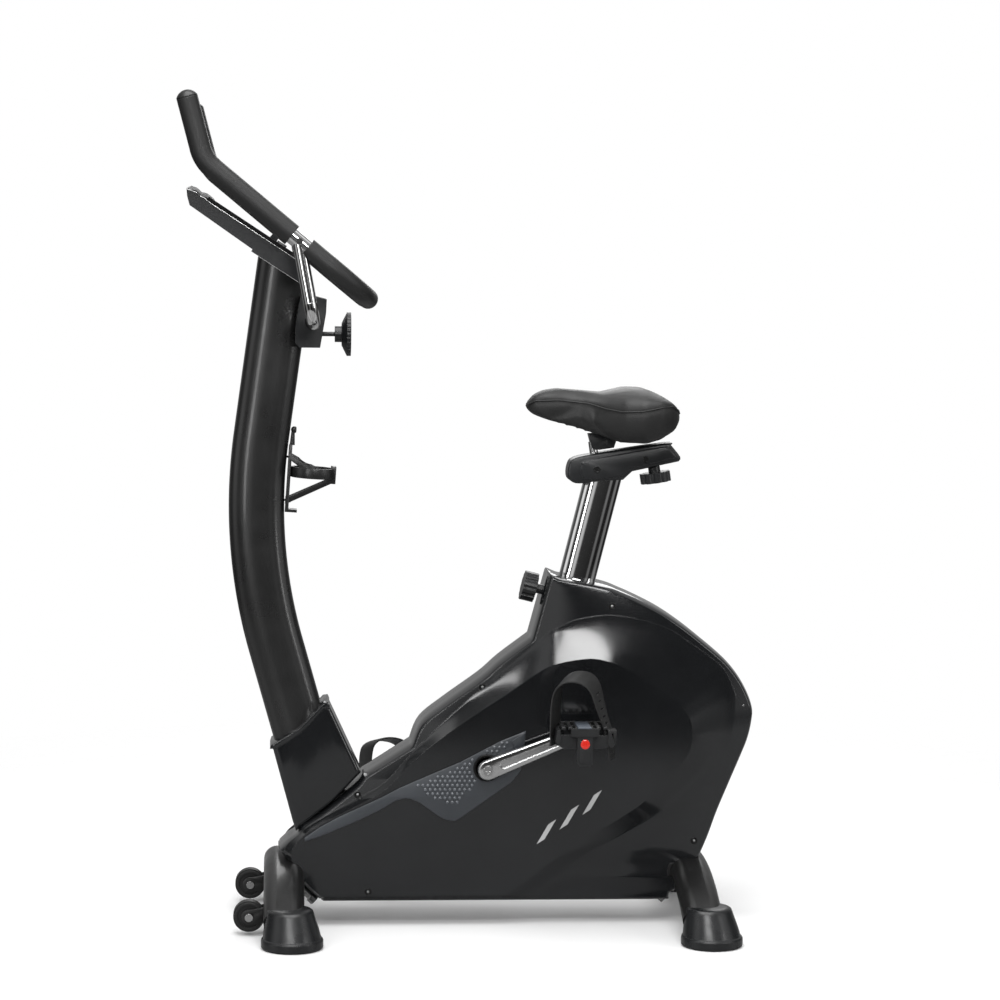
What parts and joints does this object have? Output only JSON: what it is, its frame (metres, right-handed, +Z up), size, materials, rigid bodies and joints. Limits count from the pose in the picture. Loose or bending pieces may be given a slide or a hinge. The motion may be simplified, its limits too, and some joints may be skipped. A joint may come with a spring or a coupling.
{
  "type": "exercise bike",
  "caption": "Upright exercise bike: enclosed flywheel drive, curved mast with looped handlebar and console, adjustable saddle, cranks with strapped pedals, arched stabilizers.",
  "frame": {"origin": "on the floor, below the middle of the bike's bounding box", "axes": "+Z up, +X towards the back of the bike, -Y towards the rider's left"},
  "size_m": [1.0115, 0.574, 1.4415],
  "materials": {
    "steel_frame": "satin black",
    "stabilizer_black": "satin black",
    "foot_plastic": "semi-matte black",
    "bolt_chrome": "bright",
    "wheel_plastic": "matte black",
    "shell_gloss": "high gloss black",
    "trim_grey": "satin blue-grey",
    "screw_black": "black oxide",
    "inlet_black": "matte",
    "bare_steel": "ground",
    "pulley_plastic": "matte",
    "crank_chrome": "bright",
    "pedal_plastic": "satin",
    "strap_rubber": "satin",
    "flywheel_iron": "machined",
    "belt_rubber": "matte",
    "brake_metal": "cast",
    "mast_black": "satin black",
    "cage_plastic": "satin",
    "knob_plastic": "satin",
    "bar_chrome": "bright",
    "foam": "fine foam",
    "console_plastic": "satin",
    "console_gloss": "gloss",
    "display_glass": "clear",
    "button_rubber": "matte",
    "sleeve_plastic": "matte white",
    "saddle_vinyl": "fine grain"
  },
  "bodies": {
    "frame": {"main_frame": "steel_frame", "front_stabilizer": "stabilizer_black", "rear_stabilizer": "stabilizer_black", "foot_caps": "foot_plastic", "stabilizer_fasteners": "bolt_chrome", "wheel_brackets": "steel_frame", "shell_left": "shell_gloss", "shell_right": "shell_gloss", "side_trim_left": "trim_grey", "side_trim_right": "trim_grey", "shell_screws": "screw_black", "mast_boot": "shell_gloss", "power_inlet": "inlet_black", "bearings": "bare_steel", "drive_belt": "belt_rubber", "idler_arm": "steel_frame", "tension_motor": "inlet_black", "mast": "mast_black", "mast_fasteners": "screw_black", "bottle_cage": "cage_plastic", "bar_clamp": "steel_frame", "clamp_cover": "knob_plastic", "console_back": "console_plastic", "console_face": "console_gloss", "console_display": "display_glass", "post_sleeve": "sleeve_plastic"},
    "crank": {"crank_axle": "bare_steel", "drive_pulley": "pulley_plastic", "crank_left": "crank_chrome", "crank_right": "crank_chrome", "crank_bolts": "bolt_chrome", "pedal_spindles": "bare_steel"},
    "left_pedal": {"pedal_left": "pedal_plastic", "strap_left": "strap_rubber"},
    "right_pedal": {"pedal_right": "pedal_plastic", "strap_right": "strap_rubber"},
    "flywheel_set": {"flywheel": "flywheel_iron", "flywheel_axle": "bare_steel"},
    "idler": {"idler_pulley": "pulley_plastic"},
    "brake": {"brake_arm": "brake_metal", "brake_magnets": "bare_steel"},
    "left_wheel": {"wheel_left": "wheel_plastic"},
    "right_wheel": {"wheel_right": "wheel_plastic"},
    "seat": {"seat_post": "bar_chrome", "saddle_rail": "knob_plastic"},
    "height_pin": {"height_knob": "knob_plastic"},
    "carriage": {"saddle_carriage": "bolt_chrome", "saddle_clamp": "knob_plastic"},
    "carriage_knob": {"rail_knob": "knob_plastic"},
    "saddle": {"saddle_base": "cage_plastic", "saddle_pad": "saddle_vinyl"},
    "bars": {"handlebar": "bar_chrome", "front_grip_left": "foam", "front_grip_right": "foam", "rear_grip": "foam", "bar_fittings": "cage_plastic"},
    "bar_knob": {"clamp_knob": "knob_plastic"},
    "left_button": {"button_left": "button_rubber"},
    "middle_button": {"button_middle": "button_rubber"},
    "right_button": {"button_right": "button_rubber"}
  },
  "joints": [
    {"name": "crank_spin", "type": "hinge", "parent": "frame", "child": "crank", "pos_m": [0.029, 0, 0.28], "axis": [0, 1, 0], "continuous": true},
    {"name": "flywheel_spin", "type": "hinge", "parent": "frame", "child": "flywheel_set", "pos_m": [0.322, 0, 0.334], "axis": [0, 1, 0], "continuous": true},
    {"name": "idler_spin", "type": "hinge", "parent": "frame", "child": "idler", "pos_m": [0.199, 0, 0.2246], "axis": [0, 1, 0], "continuous": true},
    {"name": "left_pedal_spin", "type": "hinge", "parent": "crank", "child": "left_pedal", "pos_m": [0.18662, -0.16, 0.34368], "axis": [0, 1, 0], "continuous": true},
    {"name": "right_pedal_spin", "type": "hinge", "parent": "crank", "child": "right_pedal", "pos_m": [-0.12862, 0.16, 0.21632], "axis": [0, 1, 0], "continuous": true},
    {"name": "brake_swing", "type": "hinge", "parent": "frame", "child": "brake", "pos_m": [0.274, 0, 0.205], "axis": [0, 1, 0], "range_deg": [-4, 0]},
    {"name": "left_wheel_spin", "type": "hinge", "parent": "frame", "child": "left_wheel", "pos_m": [-0.384, -0.132, 0.033], "axis": [0, 1, 0], "continuous": true},
    {"name": "right_wheel_spin", "type": "hinge", "parent": "frame", "child": "right_wheel", "pos_m": [-0.384, 0.132, 0.033], "axis": [0, 1, 0], "continuous": true},
    {"name": "seat_height", "type": "slide", "parent": "frame", "child": "seat", "axis": [0.2385, 0, 0.9711], "range_m": [-0.1, 0.125]},
    {"name": "height_pin_pull", "type": "slide", "parent": "frame", "child": "height_pin", "axis": [-0.9711, 0, 0.2385], "range_m": [0, 0.012], "stiffness_N_per_m": 800, "springref_m": -0.005},
    {"name": "saddle_slide", "type": "slide", "parent": "seat", "child": "carriage", "axis": [0.9885, 0, 0.1513], "range_m": [-0.004, 0.024]},
    {"name": "carriage_knob_turn", "type": "hinge", "parent": "seat", "child": "carriage_knob", "pos_m": [0.32492, 0, 0.80422], "axis": [-0.1513, 0, 0.9885], "range_deg": [-180, 180]},
    {"name": "saddle_tilt", "type": "hinge", "parent": "carriage", "child": "saddle", "pos_m": [0.244, 0, 0.848], "axis": [0, 1, 0], "range_deg": [-8, 4]},
    {"name": "handlebar_tilt", "type": "hinge", "parent": "frame", "child": "bars", "pos_m": [-0.279, 0, 1.055], "axis": [0, 1, 0], "range_deg": [-12, 18]},
    {"name": "clamp_knob_turn", "type": "hinge", "parent": "frame", "child": "bar_knob", "pos_m": [-0.228, 0, 1.033], "axis": [1, 0, 0], "range_deg": [-180, 180]},
    {"name": "left_button_press", "type": "slide", "parent": "frame", "child": "left_button", "axis": [-0.5358, 0, -0.8443], "range_m": [0, 0.001], "stiffness_N_per_m": 400, "springref_m": -0.001},
    {"name": "middle_button_press", "type": "slide", "parent": "frame", "child": "middle_button", "axis": [-0.5358, 0, -0.8443], "range_m": [0, 0.001], "stiffness_N_per_m": 400, "springref_m": -0.001},
    {"name": "right_button_press", "type": "slide", "parent": "frame", "child": "right_button", "axis": [-0.5358, 0, -0.8443], "range_m": [0, 0.001], "stiffness_N_per_m": 400, "springref_m": -0.001}
  ],
  "couplings": [
    {"joint": "flywheel_spin", "follows": "crank_spin", "ratio": 7.6667},
    {"joint": "idler_spin", "follows": "crank_spin", "ratio": -8.2143}
  ]
}
